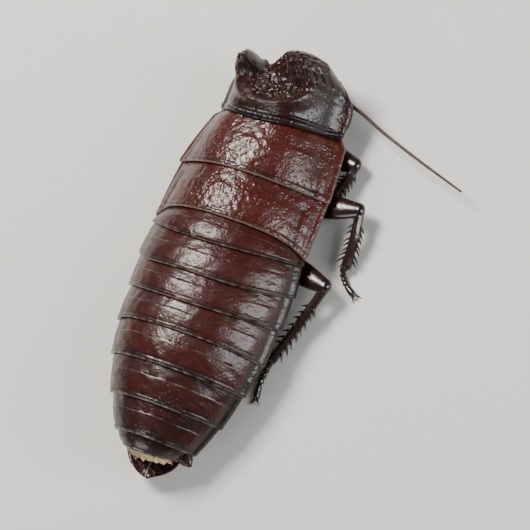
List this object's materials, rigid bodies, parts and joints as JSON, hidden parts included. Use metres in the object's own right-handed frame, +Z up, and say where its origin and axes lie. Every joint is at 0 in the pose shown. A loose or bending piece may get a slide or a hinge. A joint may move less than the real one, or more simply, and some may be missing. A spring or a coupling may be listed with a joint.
{
  "type": "madagascar hissing cockroach",
  "caption": "Large wingless cockroach with a horned neck shield, lapped back plates, spiny legs drawn in and long feelers, standing still.",
  "frame": {"origin": "on the floor, below the middle of the whole animal's box", "axes": "+Z up, the animal faces -Y, its right side is towards -X and its tail towards +Y"},
  "size_m": [0.0458, 0.065, 0.0138],
  "materials": {
    "pronotum_shell": "glossy dark red-black horn",
    "thorax_shell": "glossy mahogany horn",
    "abdomen_shell": "satin mahogany horn with fine grain",
    "tail_shell": "satin black-brown horn",
    "head_shell": "glossy dark brown horn",
    "eye": "glossy black",
    "feeler": "matte brown",
    "palp": "satin brown",
    "leg_shell": "glossy black-brown horn",
    "underside": "satin brown horn"
  },
  "bodies": {
    "root": {"abdomen_underside": "underside", "antenna_l": "feeler", "antenna_r": "feeler", "cercus_l": "tail_shell", "cercus_r": "tail_shell", "coxa_front_l": "leg_shell", "coxa_front_r": "leg_shell", "coxa_hind_l": "leg_shell", "coxa_hind_r": "leg_shell", "coxa_mid_l": "leg_shell", "coxa_mid_r": "leg_shell", "eye_l": "eye", "eye_r": "eye", "femur_front_l": "leg_shell", "femur_front_r": "leg_shell", "femur_hind_l": "leg_shell", "femur_hind_r": "leg_shell", "femur_mid_l": "leg_shell", "femur_mid_r": "leg_shell", "head": "head_shell", "horn_l": "pronotum_shell", "horn_r": "pronotum_shell", "labial_palp_l": "palp", "labial_palp_r": "palp", "labrum": "palp", "mandible_l": "head_shell", "mandible_r": "head_shell", "maxillary_palp_l": "palp", "maxillary_palp_r": "palp", "mesonotum": "thorax_shell", "metanotum": "thorax_shell", "pronotum": "pronotum_shell", "subgenital_plate": "tail_shell", "supra_anal_plate": "tail_shell", "tarsus_front_l": "leg_shell", "tarsus_front_r": "leg_shell", "tarsus_hind_l": "leg_shell", "tarsus_hind_r": "leg_shell", "tarsus_mid_l": "leg_shell", "tarsus_mid_r": "leg_shell", "tergite_1": "abdomen_shell", "tergite_2": "abdomen_shell", "tergite_3": "abdomen_shell", "tergite_4": "abdomen_shell", "tergite_5": "abdomen_shell", "tergite_6": "abdomen_shell", "tergite_7": "abdomen_shell", "thorax_underside": "underside", "tibia_front_l": "leg_shell", "tibia_front_r": "leg_shell", "tibia_hind_l": "leg_shell", "tibia_hind_r": "leg_shell", "tibia_mid_l": "leg_shell", "tibia_mid_r": "leg_shell"}
  },
  "joints": []
}
